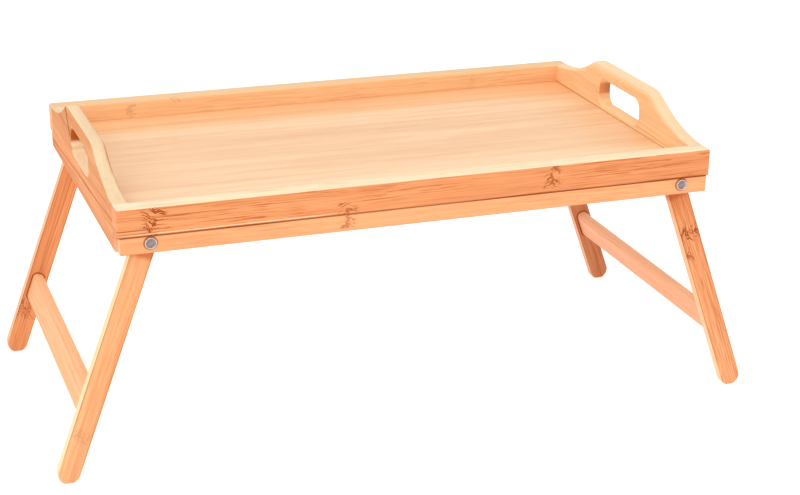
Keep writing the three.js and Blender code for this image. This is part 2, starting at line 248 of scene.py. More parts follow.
def loft(rings):
    """A closed skin over rings of points that all have the same count."""
    count = len(rings[0])
    verts = [v for ring in rings for v in ring]
    faces = []
    for r in range(len(rings) - 1):
        for i in range(count):
            j = (i + 1) % count
            a, b = r * count, (r + 1) * count
            faces.append((a + i, a + j, b + j, b + i))
    for start in (0, (len(rings) - 1) * count):
        flat = [Vector(verts[start + i]) for i in range(count)]
        for triangle in tessellate_polygon([flat]):
            faces.append(tuple(start + i for i in triangle))
    return verts, faces


def lathe(profile):
    """A closed solid of revolution about Y, from points [radius, distance along Y]."""
    verts, faces = [], []
    rows = []
    for radius, along in profile:
        if radius < 1e-6:
            rows.append([len(verts)])
            verts.append((0, along, 0))
            continue
        row = []
        for k in range(TURNED_STEPS):
            a = 2 * math.pi * k / TURNED_STEPS
            row.append(len(verts))
            verts.append((radius * math.cos(a), along, radius * math.sin(a)))
        rows.append(row)
    for low, high in zip(rows, rows[1:]):
        for k in range(TURNED_STEPS):
            j = (k + 1) % TURNED_STEPS
            if len(low) == 1:
                faces.append((low[0], high[j], high[k]))
            elif len(high) == 1:
                faces.append((low[k], low[j], high[0]))
            else:
                faces.append((low[k], low[j], high[j], high[k]))
    return verts, faces


def ring_lathe(profile):
    """A closed ring turned about Y, from a closed profile that stays clear of the axis."""
    verts, faces = [], []
    count = len(profile)
    for k in range(TURNED_STEPS):
        a = 2 * math.pi * k / TURNED_STEPS
        verts += [(r * math.cos(a), along, r * math.sin(a)) for r, along in profile]
    for k in range(TURNED_STEPS):
        j = (k + 1) % TURNED_STEPS
        for i in range(count):
            n = (i + 1) % count
            faces.append((k * count + i, k * count + n, j * count + n, j * count + i))
    return verts, faces


def piece(name, skin, nodes, body, materials, origin=(0, 0, 0), tint=None):
    """Makes the object from a skin in row-frame millimetres, with its origin at a place there."""
    verts, faces = skin
    start = Vector(origin)
    mesh = bpy.data.meshes.new(name)
    mesh.from_pydata([(Vector(v) - start) * MM for v in verts], [], faces)
    bm = bmesh.new()
    bm.from_mesh(mesh)
    bmesh.ops.remove_doubles(bm, verts=bm.verts, dist=1e-6)
    bmesh.ops.dissolve_degenerate(bm, edges=bm.edges, dist=1e-7)
    bmesh.ops.recalc_face_normals(bm, faces=bm.faces)
    bm.to_mesh(mesh)
    bm.free()
    mesh.shade_smooth()
    mesh.set_sharp_from_angle(angle=SHARP_ANGLE)
    obj = bpy.data.objects.new(name, mesh)
    bpy.context.scene.collection.objects.link(obj)
    obj.location = start * MM
    for material in materials:
        mesh.materials.append(material)
    if tint:
        for face in mesh.polygons:
            face.material_index = tint(start + face.center / MM)
    weighted = obj.modifiers.new("weighted_normals", "WEIGHTED_NORMAL")
    weighted.weight = 100
    weighted.keep_sharp = True
    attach(obj, body)
    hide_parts(*nodes)
    return obj


# ------------------------------------------------------------- materials

LINE_CORE = 0.3  # the share of a drawn line's half width that is at full strength

# How often each pattern of the bamboo repeats in a metre: along, across and through the board
BROAD_TONES = (2.6, 55, 55)
PATCHES = (8, 95, 95)
SOFT_TONES = (6, 380, 380)
STREAKS = (17, 1000, 1000)
FINE_FIBRES = (45, 2400, 2400)
DASHES = (42, 1150, 1150)
PORES = (1500, 1500, 1500)

TONE_DEPTHS = (0.55, 1.15, 1.5)  # how far a tone changes red, green and blue
FIBRE_GAINS = (0.72, 0.48, 0.30)  # a dark fibre's colour beside the face's
MARK_GAINS = (0.44, 0.21, 0.05)  # the same for a node mark or a joint line
SPLIT_GAIN = 0.45  # a split's brightness beside a mark's
# painted shade on the end walls of the handles' slots
SLOT_SHADE_GAIN = 1.5  # how much paler a slot wall's dark part starts at the low end of through


def shade(colour, gain=1.0):
    """The colour at some share of its brightness."""
    return (colour[0] * gain, colour[1] * gain, colour[2] * gain, 1.0)


def tinted(colour, gains):
    """The colour with its own gain for red, green and blue."""
    return (colour[0] * gains[0], colour[1] * gains[1], colour[2] * gains[2], 1.0)


class Shader:
    """A material being made, with short calls for the nodes that it needs."""

    def __init__(self, name):
        self.material = bpy.data.materials.new(name)
        self.material.use_nodes = True
        self.tree = self.material.node_tree
        self.surface = self.tree.nodes["Principled BSDF"]
        self.coords = self.tree.nodes.new("ShaderNodeTexCoord")

    def node(self, kind, inputs=(), **settings):
        made = self.tree.nodes.new(kind)
        for key, value in settings.items():
            setattr(made, key, value)
        for key, value in dict(inputs).items():
            self.feed(made.inputs[key], value)
        return made

    def feed(self, socket, value):
        if isinstance(value, bpy.types.NodeSocket):
            self.tree.links.new(value, socket)
        else:
            socket.default_value = value

    def math(self, operation, *values):
        made = self.node("ShaderNodeMath", operation=operation)
        for socket, value in zip(made.inputs, values):
            self.feed(socket, value)
        return made.outputs[0]

    def plus(self, first, second):
        return self.math("ADD", first, second)

    def minus(self, first, second):
        return self.math("SUBTRACT", first, second)

    def times(self, first, second):
        return self.math("MULTIPLY", first, second)

    def larger(self, first, second):
        return self.math("MAXIMUM", first, second)

    def size(self, value):
        return self.math("ABSOLUTE", value)

    def linear(self, value, gain, offset):
        return self.math("MULTIPLY_ADD", value, gain, offset)

    def length(self, first, second):
        squares = self.plus(self.times(first, first), self.times(second, second))
        return self.math("SQRT", squares)

    def remap(self, value, low, high, to_low=0.0, to_high=1.0):
        inputs = {"Value": value, "From Min": low, "From Max": high}
        inputs.update({"To Min": to_low, "To Max": to_high})
        made = self.node("ShaderNodeMapRange", inputs, interpolation_type="SMOOTHSTEP")
        return made.outputs[0]

    def distance(self, value, place):
        """How far a value is from a place in millimetres."""
        return self.size(self.minus(value, place * MM))

    def past(self, value, place):
        """How far a value is past a place in millimetres, or 0 before it."""
        return self.larger(self.minus(value, place * MM), 0.0)

    def stroke(self, gap, half_width, strength):
        """A drawn line's strength at some distance from its middle."""
        core = half_width * MM * LINE_CORE
        return self.times(self.remap(gap, half_width * MM, core), strength)

    def between(self, value, low, high, core):
        """1 over the core share of a span in millimetres, fading to 0 at its ends."""
        reach = (high - low) / 2 * MM
        return self.remap(self.distance(value, (low + high) / 2), reach, reach * core)

    def combine(self, x, y, z):
        return self.node("ShaderNodeCombineXYZ", {"X": x, "Y": y, "Z": z}).outputs[0]

    def dot(self, vector, axis):
        made = self.node("ShaderNodeVectorMath", {0: vector, 1: tuple(axis)})
        made.operation = "DOT_PRODUCT"
        return made.outputs["Value"]

    def scaled(self, vector, scale, shift=(0, 0, 0)):
        inputs = {"Vector": vector, "Scale": scale, "Location": shift}
        return self.node("ShaderNodeMapping", inputs).outputs[0]

    def noise(self, vector, detail=2.0, roughness=0.5):
        inputs = {"Vector": vector, "Scale": 1.0, "Detail": detail, "Roughness": roughness}
        return self.node("ShaderNodeTexNoise", inputs, noise_dimensions="3D").outputs[0]

    def mix(self, factor, first, second, blend="MIX"):
        made = self.node("ShaderNodeMix", data_type="RGBA", blend_type=blend)
        self.feed(made.inputs["Factor"], factor)
        self.feed([s for s in made.inputs if s.name == "A" and s.type == "RGBA"][0], first)
        self.feed([s for s in made.inputs if s.name == "B" and s.type == "RGBA"][0], second)
        return [s for s in made.outputs if s.type == "RGBA"][0]

    def bump(self, height, strength, distance):
        inputs = {"Height": height, "Strength": strength, "Distance": distance}
        self.feed(self.surface.inputs["Normal"], self.node("ShaderNodeBump", inputs).outputs[0])


class Bamboo(Shader):
    """Lacquered bamboo: tones and dark fibres, edge grain drawn paler as painted light on the
    tops, end grain and what is drawn on it.

    What is drawn is placed in millimetres from the piece's origin, along the fibres, across the
    face and through the board.
    """

    def __init__(self, name, grain, face, edge, seed, mark_gains):
        super().__init__(name)
        self.place = self.coords.outputs["Object"]
        self.along, self.across, self.through = [self.dot(self.place, way) for way in grain]
        normal = self.coords.outputs["Normal"]
        self.facing_along = self.size(self.dot(normal, grain[0]))
        self.facing_across = self.size(self.dot(normal, grain[1]))
        self.face = face
        self.edge = edge
        self.seed = seed
        self.shift = seed * 1.7
        self.fibre_colour = tinted(face, FIBRE_GAINS)
        self.mark_colour = tinted(face, mark_gains)

    def draw(self, share, colour):
        self.colour = self.mix(share, self.colour, colour)

    def lay_fibres(self, strip, coarse):
        """The patterns that run with the grain. Each glued strip has its own place in them."""
        self.own_tone = None
        start = self.along
        if strip:
            index = self.math("FLOOR", self.math("DIVIDE", self.plus(self.across, 1.0), strip))
            white = self.node("ShaderNodeTexWhiteNoise", noise_dimensions="1D")
            self.feed(white.inputs["W"], self.plus(index, self.seed + 0.5))
            self.own_tone = white.outputs[0]
            start = self.linear(self.own_tone, 0.9, self.along)
        wander = self.combine(self.times(start, 9.0), self.times(self.across, 40.0), self.shift)
        bent = self.linear(self.noise(wander, detail=1.0), 0.0035, self.across)
        fibre = self.combine(start, bent, self.through)
        shift = self.shift
        soft_scale = (SOFT_TONES[0], SOFT_TONES[1] * coarse, SOFT_TONES[2])
        self.broad = self.noise(self.scaled(fibre, BROAD_TONES, (shift, 0, 0)))
        self.patches = self.noise(self.scaled(fibre, PATCHES, (0, shift, 0)), detail=1.0)
        self.soft = self.noise(self.scaled(fibre, soft_scale, (0, shift, 3)), 3.0, 0.6)
        self.streaks = self.noise(self.scaled(fibre, STREAKS, (0, shift, 0)), 2.0, 0.6)
        self.fine = self.noise(self.scaled(fibre, FINE_FIBRES, (0, 0, shift)), detail=1.0)
        self.dashes = self.noise(self.scaled(fibre, DASHES, (5, 0, shift)), detail=1.0)

    def find_edges(self, edge_from):
        """Where the surface turns to the board's edges and to its ends."""
        self.side = self.remap(self.facing_across, 0.50, 0.82)
        if edge_from is not None:
            above = self.remap(self.across, (edge_from - 3) * MM, edge_from * MM)
            self.side = self.times(self.side, above)
        self.end = self.remap(self.facing_along, 0.6, 0.95)

    def tint(self, tone):
        """The colours of face and edge, with the fibres' tones."""
        tones = self.plus(self.remap(self.broad, 0.3, 0.7, -tone, tone),
                          self.remap(self.soft, 0.3, 0.7, tone, -tone))
        tones = self.plus(tones, self.remap(self.fine, 0.25, 0.75, 0.05, -0.05))
        if self.own_tone is not None:
            tones = self.plus(tones, self.remap(self.own_tone, 0.0, 1.0, -tone, tone))
        tones = self.times(tones, self.remap(self.side, 0.0, 1.0, 1.0, 0.4))
        gains = self.combine(*[self.linear(tones, depth, 1.0) for depth in TONE_DEPTHS])
        # the pale edge colour is edge grain, and on the rims and handle tops also painted light
        plain = self.mix(self.side, shade(self.face), shade(self.edge))
        self.colour = self.mix(1.0, plain, gains, "MULTIPLY")

    def draw_zone(self, way, low, high, gains):
        """A change of colour that comes in between two places.

        One that comes in through the board leaves its edges alone.
        """
        at = {"along": self.along, "across": self.across, "through": self.through}[way]
        share = self.remap(at, low * MM, high * MM)
        if way == "through":
            share = self.times(share, self.remap(self.side, 1.0, 0.0))
        self.draw(share, self.mix(1.0, self.colour, shade(gains), "MULTIPLY"))

    def draw_fibres(self, streaky):
        """Dark fibres, in long lines and in short dashes."""
        patchy = self.remap(self.patches, 0.34, 0.56, 0.3, 1.0)
        self.lined = self.times(self.remap(self.streaks, 0.54, 0.60), patchy)
        dashed = self.times(self.remap(self.dashes, 0.58, 0.70),
                            self.remap(self.patches, 0.42, 0.55))
        depth = self.larger(self.times(self.lined, 0.85), dashed)
        depth = self.times(depth, self.remap(self.side, 0.0, 1.0, streaky, 0.25 * streaky))
        self.draw(depth, self.fibre_colour)

    def draw_ends(self, face, gain, slot_shading):
        """End grain with its pores, and a handle slot's end walls in painted light and shade."""
        specks = self.noise(self.scaled(self.place, PORES, (self.shift, 0, 0)), detail=1.0)
        pores = self.times(self.remap(specks, 0.5, 0.66), 0.4)
        colour = self.mix(pores, shade(face, gain), shade(self.fibre_colour, gain))
        if slot_shading:
            near = self.remap(self.size(self.along), 0.060, 0.050)
            inside = self.times(near, self.remap(self.facing_along, 0.50, 0.60))
            colour = self.mix(inside, colour, self.shaded_slot_wall(*slot_shading))
        self.draw(self.end, colour)

    def shaded_slot_wall(self, lower, upper):
        """Painted light and shade: a lit lower part, and over it shade that deepens through the
        board.
        """
        rightward = self.remap(self.through, -0.005, 0.005)
        dark = self.mix(rightward, shade(upper, SLOT_SHADE_GAIN), shade(upper))
        return self.mix(self.remap(self.across, -0.005, -0.001), shade(lower), dark)

    def node_mark(self, along, across, half_width, half_height, strength, lean, skew):
        """Dark strokes where the cane had a node.

        They rise by lean on both sides of the node, and by skew along it.
        """
        vein = self.combine(along, self.times(self.across, 420.0), self.seed)
        zigzag = self.linear(self.noise(vein, detail=1.0), 0.010, along * MM - 0.005)
        offset = self.minus(self.along, zigzag)
        far = self.size(offset)
        wave = self.combine(self.times(self.along, 130.0), self.times(self.across, 28.0),
                            self.seed + along)
        curl = self.noise(wave, detail=1.0)
        leaning = self.linear(far, lean, self.across)
        leaning = self.linear(offset, skew, leaning)
        leaning = self.linear(curl, 0.008, leaning)
        brush = self.combine(self.times(offset, 70.0), self.times(leaning, 680.0),
                             self.linear(self.through, 300.0, self.seed * 3.1 + along))
        strokes = self.remap(self.noise(brush, detail=1.0, roughness=0.4), 0.51, 0.57)
        near = self.remap(far, half_width * MM, half_width * MM * 0.5)
        middle = self.remap(far, 0.0018, 0.0006)
        broken = self.remap(self.noise(self.scaled(brush, (1.0, 0.35, 1.0))), 0.44, 0.52)
        drawn = self.larger(self.times(strokes, near), self.times(broken, middle))
        within = self.remap(self.distance(self.across, across), half_height * MM,
                            half_height * MM * 0.75)
        return self.times(drawn, self.times(within, strength))

    def draw_marks(self, marks):
        """Node marks, which fade out on the board's edges."""
        strokes = self.node_mark(*marks[0])
        for mark in marks[1:]:
            strokes = self.larger(strokes, self.node_mark(*mark))
        strokes = self.times(strokes, self.remap(self.side, 0.0, 0.6, 1.0, 0.12))
        self.draw(strokes, self.mark_colour)

    def draw_line(self, level, rise, half_width, strength, low, high):
        """A dark line along the board, at a level that rises with the length."""
        height = self.linear(self.along, -rise, self.across)
        uneven = self.remap(self.patches, 0.3, 0.6, 0.6 * strength, strength)
        line = self.stroke(self.distance(height, level), half_width, uneven)
        self.draw(self.times(line, self.between(self.along, low, high, 0.8)), self.mark_colour)

    def draw_glint(self, level, half_width, strength, low, high):
        """Painted highlight: a pale line along the board, where a rounded edge catches the light.
        """
        line = self.stroke(self.distance(self.across, level), half_width, strength)
        self.draw(self.times(line, self.between(self.along, low, high, 0.6)), shade(self.edge))

    def draw_split(self, start, slope, half_width, strength, low, high):
        """A dark split across the grain, on the face at the low end of through."""
        slanting = self.linear(self.across, -slope, self.along)
        line = self.stroke(self.distance(slanting, start), half_width, strength)
        line = self.times(line, self.between(self.across, low, high, 0.7))
        line = self.times(line, self.remap(self.side, 0.5, 0.0))
        line = self.times(line, self.remap(self.through, 0.002, -0.002))
        self.draw(line, shade(self.mark_colour, SPLIT_GAIN))

    def draw_shadow_ring(self, along, across, radius, half_width, strength):
        """Painted shadow: a dark ring about a place, and about its mirror image at the board's
        other end.
        """
        away = self.length(self.minus(self.size(self.along), along * MM),
                           self.minus(self.across, across * MM))
        ring = self.stroke(self.distance(away, radius), half_width, strength)
        self.draw(ring, self.mark_colour)

    def draw_shade_collar(self, along, half_along, half_across, corner, width, facing):
        """Painted shade: a dark line round the place where a bar with rounded corners meets one
        face.
        """
        beyond = self.length(self.past(self.distance(self.along, along), half_along - corner),
                             self.past(self.size(self.across), half_across - corner))
        rim = self.remap(beyond, (corner + width) * MM, (corner + width * LINE_CORE) * MM)
        inner = self.remap(self.times(self.through, facing), 0.003, 0.004)
        self.draw(self.times(rim, inner), self.mark_colour)

    def lacquer(self, gloss):
        """Puts the colour on the surface, with its satin coat and fine relief."""
        inputs = self.surface.inputs
        self.feed(inputs["Base Color"], self.colour)
        self.feed(inputs["Roughness"], self.remap(self.soft, 0.3, 0.7, 0.45, 0.60))
        inputs["Specular IOR Level"].default_value = 0.12 * gloss
        inputs["Coat Weight"].default_value = 0.03 * gloss
        inputs["Coat Roughness"].default_value = 0.3
        relief = self.minus(self.times(self.soft, 0.5), self.times(self.lined, 0.5))
        self.bump(relief, 0.4, 0.0002)


def bamboo(name, grain, face, edge, seed, strip=0.0, coarse=1.0, edge_from=None, tone=0.10,
           streaky=1.0, end_face=None, end_gain=0.72, slot_shading=None, gloss=1.0,
           mark_gains=MARK_GAINS, zones=(), marks=(), lines=(), glints=(), splits=(), rings=(),
           shade_collar=None):
    """The material of one board.

    face and edge are its colours, and seed sets its grain apart. The edge colour is edge grain,
    and on the tops also painted light, as pale as where the light falls on them. strip is the
    width in metres of the strips that it is glued up from, and a coarse below 1 makes its soft
    tones wider.
    Below the level edge_from the edges keep the face's colour. The last seven are drawn on it,
    and each holds the arguments of the method of Bamboo that draws it. Of these, glints are
    painted highlights, rings and collar are painted shade, and so are some zones.
    """
    wood = Bamboo(name, grain, face, edge, seed, mark_gains)
    wood.lay_fibres(strip, coarse)
    wood.find_edges(edge_from)
    wood.tint(tone)
    for zone in zones:
        wood.draw_zone(*zone)
    wood.draw_fibres(streaky)
    wood.draw_ends(end_face or face, end_gain, slot_shading)
    if marks:
        wood.draw_marks(marks)
    for line in lines:
        wood.draw_line(*line)
    for glint in glints:
        wood.draw_glint(*glint)
    for split in splits:
        wood.draw_split(*split)
    for ring in rings:
        wood.draw_shadow_ring(*ring)
    if shade_collar:
        wood.draw_shade_collar(*shade_collar)
    wood.lacquer(gloss)
    return wood.material


def steel(name, colour, rough, scratch, grain=900.0):
    """Plated steel with fine scuffs and cloudy patches in its gloss."""
    s = Shader(name)
    place = s.coords.outputs["Object"]
    cloud = s.noise(s.scaled(place, (420, 420, 420)), detail=3.0)
    scuff_scale = (grain * 0.25, grain, grain * 2.2)
    scuff = s.noise(s.scaled(place, scuff_scale, (3, 1, 7)), detail=3.0, roughness=0.65)
    tone = s.remap(s.plus(s.times(cloud, 0.5), s.times(scuff, 0.5)), 0.35, 0.65)
    s.feed(s.surface.inputs["Base Color"], s.mix(tone, shade(colour, 0.62), shade(colour)))
    s.feed(s.surface.inputs["Roughness"], s.remap(scuff, 0.3, 0.7, rough, rough + scratch))
    s.surface.inputs["Metallic"].default_value = 1.0
    s.bump(scuff, 0.3, 0.00008)
    return s.material


# What the boards' materials are drawn around, in millimetres from the middle of each piece
RAIL_SEAM = RAIL_BOTTOM_Z - RAIL_MIDDLE_Z
STRIP_SEAM = RAIL_BOTTOM_Z - STRIP_MIDDLE_Z
FLOOR_IN_BOARD = FLOOR_TOP_Z - RIM_Z
WHOLE_LENGTH = (-400, 400)
# painted shadow of each rivet's head: a dark ring on the strip just round it
RIVET_SHADOW_RING = (PIVOT_X, PIVOT_Z - STRIP_MIDDLE_Z, RIVET_HEAD_RADIUS + 0.25, 0.7, 0.8)

front_rail_wood = bamboo(
    "bamboo_front_rail", RAIL_GRAIN, (0.79, 0.30, 0.118), (0.93, 0.79, 0.52), 1.0,
    tone=0.07,
    end_gain=1.1,
    marks=((-221, 0, 12, 13, 1.0, -0.4, 0.25),
           (106, 2, 9, 11, 0.75, 0.7, 0.3),
           (-68, -7, 10, 7, 0.75, 0.5, 0.0)),
    # the first line is the seam over the leg strip: a dark joint, drawn darker as painted shade
    # in its groove
    lines=((RAIL_SEAM + 0.2, 0, 1.2, 1.0, *WHOLE_LENGTH),
           (-3.5, 0.01, 0.6, 0.9, -262, -222),
           (-6.2, 0, 0.55, 0.9, -262, -205),
           (-8.6, 0, 0.5, 0.9, -262, -215),
           (5.0, 0.01, 0.45, 0.7, -262, -190),
           (1.5, -0.012, 0.45, 0.6, -255, -150)),
    # a painted highlight on the rounded edge over the seam
    glints=((RAIL_SEAM + 1.9, 0.6, 0.6, -262, -60),))
rear_rail_wood = bamboo(
    "bamboo_rear_rail", RAIL_GRAIN, (0.94, 0.57, 0.29), (0.87, 0.56, 0.30), 2.0,
    tone=0.05,
    streaky=0.4,
    end_face=(0.86, 0.40, 0.21),
    end_gain=1.0,
    zones=(("through", 4, 6, (0.90, 0.66, 0.55)),),
    marks=((-179, 1, 6, 8, 0.3, 0.5, 0.0),
           (-136, 10, 8, 3, 0.4, 0.1, 0.0),
           (150, 2, 6, 8, 0.12, 0.5, 0.0)),
    # the line is the seam over the leg strip: a dark joint, drawn darker as painted shade in its
    # groove
    lines=((RAIL_SEAM + 0.1, 0, 0.7, 1.0, *WHOLE_LENGTH),))
front_strip_wood = bamboo(
    "bamboo_front_strip", RAIL_GRAIN, (0.88, 0.38, 0.165), (0.90, 0.44, 0.22), 3.0,
    tone=0.05,
    streaky=0.45,
    end_face=(0.90, 0.50, 0.28),
    end_gain=1.0,
    marks=((-68, 2, 8, 7, 0.6, 0.5, 0.0),),
    # the first line is the seam under the rail: a dark joint, drawn darker as painted shade in
    # its groove
    lines=((STRIP_SEAM - 0.1, 0, 0.8, 1.0, *WHOLE_LENGTH),
           (-STRIP_SEAM + 0.5, 0, 0.6, 0.45, *WHOLE_LENGTH)),
    rings=(RIVET_SHADOW_RING,))
rear_strip_wood = bamboo(
    "bamboo_rear_strip", RAIL_GRAIN, (0.88, 0.38, 0.17), (0.90, 0.44, 0.22), 4.0,
    tone=0.05,
    end_gain=0.8,
    marks=((70, 0, 8, 7, 0.6, 0.5, 0.0),),
    # the line is the seam under the rail: a dark joint, drawn darker as painted shade in its
    # groove
    lines=((STRIP_SEAM - 0.1, 0, 0.8, 1.0, *WHOLE_LENGTH),),
    rings=(RIVET_SHADOW_RING,))
left_board_wood = bamboo(
    "bamboo_left_board", BOARD_GRAIN, (0.76, 0.314, 0.132), (0.93, 0.68, 0.44), 5.0,
    streaky=0.5,
    gloss=0.15,
    end_face=(0.90, 0.50, 0.31),
    end_gain=1.0,
    # painted light and shade on the slot's end walls, lit below and shaded above
    slot_shading=((0.88, 0.65, 0.42), (0.304, 0.067, 0.015)),
    mark_gains=(0.58, 0.28, 0.08),
    zones=(("across", -16, 4, (0.92, 0.92, 0.88)),),
    lines=((-21.5, -0.057, 0.9, 1.0, -300, 300),
           (-27.0, -0.057, 0.5, 0.5, -300, 300),
           (-15.0, -0.09, 0.4, 0.6, -300, 20)),
    splits=((40.9, 0.75, 3.2, 1.0, 0, 25),))
right_board_wood = bamboo(
    "bamboo_right_board", BOARD_GRAIN, (0.95, 0.60, 0.31), (0.93, 0.66, 0.40), 6.0,
    # the pale edge colour, with its painted light, only on the upper edges
    edge_from=-4,
    tone=0.05,
    streaky=0.25,
    end_gain=0.95,
    # painted light and shade on the slot's end walls, lit below and shaded above
    slot_shading=((0.875, 0.467, 0.24), (0.475, 0.18, 0.062)),
    lines=((FLOOR_IN_BOARD + 0.2, 0, 0.8, 0.8, *WHOLE_LENGTH),
           (-9.5, 0.035, 0.4, 0.5, -135, -10),
           (-4.0, 0.05, 0.35, 0.4, -130, 60)))
floor_wood = bamboo(
    "bamboo_floor", FLOOR_GRAIN, (0.94, 0.63, 0.388), (0.9, 0.5, 0.27), 7.0,
    strip=FLOOR_STRIP * MM,
    coarse=0.25,
    tone=0.045,
    streaky=0.12,
    # painted shade: darker and more orange towards the rear rail and the right board
    zones=(("across", 70, 110, (1.0, 0.84, 0.68)),
           ("along", 150, 230, (1.0, 0.92, 0.84))))
stretcher_woods = {
    side: bamboo(f"bamboo_{name}_stretcher", stretcher_grain(side), face, edge, seed,
                 tone=0.05, streaky=0.4)
    for side, name, face, edge, seed in (
        (-1, "left", (0.88, 0.45, 0.215), (0.90, 0.52, 0.28), 8.0),
        (1, "right", (0.86, 0.43, 0.25), (0.86, 0.51, 0.32), 8.6))
}


# painted shadow at the top of each leg, under the leg strip
TOP_SHADOW = ("along", 19, 14, (0.72, 0.50, 0.38))
ARRISES = tuple((level, 0, 0.5, 0.55, -20, 200) for level in (-8.3, 8.3))
# painted shade in the joint round the stretcher's end
SHADE_COLLAR = (STRETCHER_FROM_PIVOT, STRETCHER_WIDTH / 2, STRETCHER_THICKNESS / 2,
          STRETCHER_EDGE_RADIUS, 1.7)


def leg_wood(corner, side, face, edge, seed, marks=(), streaky=0.9, zones=(), lines=()):
    """A leg's material: painted shadow at its top, dark lines on its arrises, painted shade by
    the stretcher's end.
    """
    facing = 1 if corner.endswith("front") else -1
    return bamboo(f"bamboo_{corner}_leg", leg_grain(side), face, edge, seed, streaky=streaky,
                  marks=marks, zones=(*zones, TOP_SHADOW), lines=(*lines, *ARRISES),
                  shade_collar=(*SHADE_COLLAR, facing))


leg_woods = {
    "left_front": leg_wood(
        "left_front", -1, (0.84, 0.38, 0.165), (0.94, 0.65, 0.36), 11.0, streaky=0.35,
        marks=((170, 1, 8, 8, 0.22, 0.6, 0.0),),
        zones=(("along", 110, 180, (1.0, 1.10, 1.18)),)),
    "left_rear": leg_wood(
        "left_rear", -1, (0.71, 0.27, 0.108), (0.88, 0.48, 0.26), 12.0, streaky=0.5,
        marks=((168, 1, 11, 10, 0.7, 0.2, 0.8),),
        lines=((-2.5, 0.02, 0.6, 0.35, 0, 300),
               (3.0, -0.015, 0.6, 0.4, 10, 150))),
    "right_front": leg_wood(
        "right_front", 1, (0.80, 0.315, 0.132), (0.90, 0.52, 0.29), 13.0, streaky=0.8,
        marks=((52, 0, 10, 10, 1.0, 0.6, 0.1),
               (72, 6, 8, 4, 0.8, 0.4, 0.0)),
        # the first zone is painted shade at the leg's top, under the leg strip
        zones=(("along", 50, 20, (0.87, 0.79, 0.71)),
               ("along", 110, 170, (1.04, 1.14, 1.22)))),
    "right_rear": leg_wood(
        "right_rear", 1, (0.54, 0.19, 0.08), (0.82, 0.42, 0.25), 14.0),
}
PLAIN_WOOD = (0.74, 0.49, 0.26)
dowel_wood = bamboo("dowel_wood", RAIL_GRAIN, PLAIN_WOOD, PLAIN_WOOD, 9.0, streaky=0.5)
bright_steel = steel("nickel_ring", (0.74, 0.68, 0.67), 0.24, 0.16)
# the rivet head's dish, in a steel darker and browner than the ring
dull_steel = steel("dark_rivet_dish", (0.40, 0.31, 0.29), 0.42, 0.25, 1500.0)
screw_steel = steel("zinc_screw", (0.70, 0.68, 0.64), 0.3, 0.2)


# ------------------------------------------------------------ the boards


def rail_section(drop, inner_top, slot_y, bay_y):
    """The rail's section as [|y|, z], cut back to slot_y beside the floor and bay_y below it.

    drop is how far it has drawn in at the rail's end.
    """
    ledge_z = FLOOR_TOP_Z + FLOOR_GAP
    shelf_z = FLOOR_LO.z - FLOOR_GAP
    corners = [
        (bay_y, RAIL_BOTTOM_Z),
        (RAIL_OUTER_Y - drop, RAIL_BOTTOM_Z),
        (RAIL_OUTER_Y - drop, RIM_Z - drop),
        (RAIL_INNER_Y, RIM_Z - drop),
        (RAIL_INNER_Y, ledge_z),
        (slot_y, ledge_z),
        (slot_y, shelf_z),
        (bay_y, shelf_z),
    ]
    outer_top = RIM_RADIUS - drop / 2
    return rounded(corners, [0.0, SEAM_RADIUS, outer_top, inner_top, 0.0, 0.0, 0.0, 0.0])


def long_rail(name, side, wood):
    """A rail, grooved for the floor and cut back below it between the end boards."""
    turn = RIM_RADIUS
    full, cut = RAIL_INNER_Y + 2 * HAIR, STRIP_INNER_Y
    groove_end = FLOOR_HI.x + NOTCH_GAP
    half = []
    for k in range(ROUND_STEPS, -1, -1):
        angle = math.pi / 2 * k / ROUND_STEPS
        x = HALF_LENGTH - turn * (1 - math.sin(angle))
        half.append((x, turn * (1 - math.cos(angle)), BUTT_RADIUS, full, full - HAIR))
    half.append((groove_end, 0, BUTT_RADIUS, full, full - HAIR))
    half.append((groove_end - HAIR, 0, BUTT_RADIUS, cut, full - HAIR))
    half.append((END_INNER_X + HAIR, 0, BUTT_RADIUS, cut, full - HAIR))
    for k in range(ROUND_STEPS + 1):
        past = turn * (1 - k / ROUND_STEPS)
        radius = max(math.sqrt(turn ** 2 - past ** 2), BUTT_RADIUS)
        half.append((END_INNER_X - turn + past, 0, radius, cut, cut - HAIR))
    rings = []
    for sign, rows in ((1, half), (-1, half[::-1])):
        for x, *shape in rows:
            rings.append([(sign * x, side * p.x, p.y) for p in rail_section(*shape)])
    middle = (0, side * (RAIL_INNER_Y + RAIL_OUTER_Y) / 2, RAIL_MIDDLE_Z)
    piece(name + "_board", loft(rings), [name], "tray", [wood], middle)


def strip_section(drop):
    """A leg strip's section as [|y|, z], which draws in by drop at the strip's end."""
    corners = [
        (STRIP_INNER_Y + drop, STRIP_BOTTOM_Z + drop),
        (STRIP_OUTER_Y - drop, STRIP_BOTTOM_Z + drop),
        (STRIP_OUTER_Y - drop, RAIL_BOTTOM_Z),
        (STRIP_INNER_Y + drop, RAIL_BOTTOM_Z),
    ]
    return rounded(corners, STRIP_RADII)


def leg_strip(name, side, wood):
    rings = []
    for sign in (1, -1):
        steps = range(ROUND_STEPS, -1, -1) if sign > 0 else range(ROUND_STEPS + 1)
        for k in steps:
            angle = math.pi / 2 * k / ROUND_STEPS
            x = STRIP_HALF_LENGTH - LOWER_RADIUS * (1 - math.sin(angle))
            drop = LOWER_RADIUS * (1 - math.cos(angle))
            rings.append([(sign * x, side * p.x, p.y) for p in strip_section(drop)])
    middle = (0, side * (STRIP_INNER_Y + STRIP_OUTER_Y) / 2, STRIP_MIDDLE_Z)
    piece(name + "_bar", loft(rings), [name], "tray", [wood], middle)


